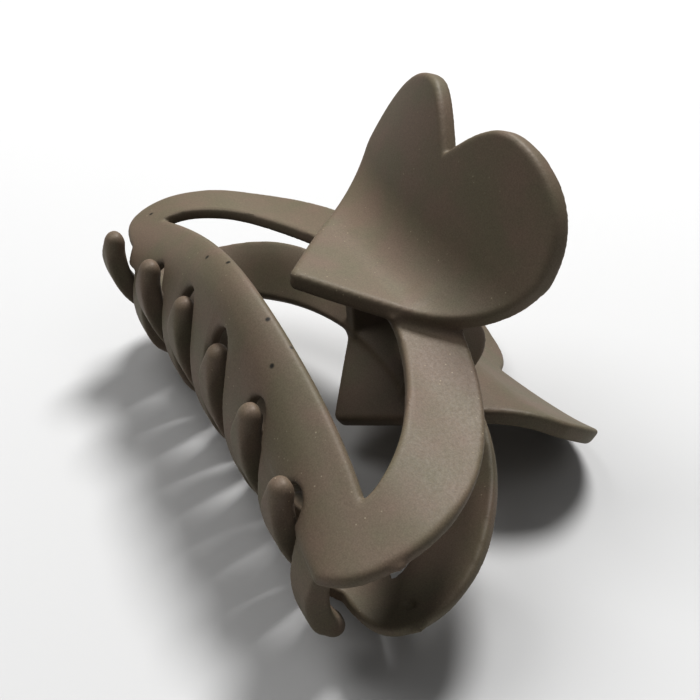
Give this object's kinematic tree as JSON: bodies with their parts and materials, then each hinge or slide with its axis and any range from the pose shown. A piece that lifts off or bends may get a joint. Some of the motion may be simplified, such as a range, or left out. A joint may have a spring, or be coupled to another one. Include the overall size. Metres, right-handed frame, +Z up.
{
  "type": "claw hair clip",
  "caption": "Large sprung claw clip for hair: cupped windowed jaws with crossing teeth and heart-shaped thumb tabs, hinged on a steel pin.",
  "frame": {"origin": "middle of the clip's footprint, on the surface it lies on", "axes": "+X along the hinge pin, the clip's length; +Z up with the clip lying on its rear jaw; +Y towards the rear jaw's heart tab, -Y towards the teeth"},
  "size_m": [0.1, 0.065, 0.0587],
  "materials": {
    "jaw_plastic": "soft-touch matte taupe with a fine grain",
    "pin_steel": "drawn wire, plain",
    "spring_steel": "bright drawn spring wire"
  },
  "bodies": {
    "rear_jaw": {"rear_jaw": "jaw_plastic", "hinge_pin": "pin_steel", "torsion_spring": "spring_steel"},
    "front_jaw": {"front_jaw": "jaw_plastic"}
  },
  "joints": [
    {"name": "jaw_hinge", "type": "hinge", "parent": "rear_jaw", "child": "front_jaw", "pos_m": [0, 0.00645, 0.0252], "axis": [-1, 0, 0], "range_deg": [0, 90], "stiffness_Nm_per_rad": 0.2, "springref_deg": -28.65, "deforming": ["torsion_spring"]}
  ]
}
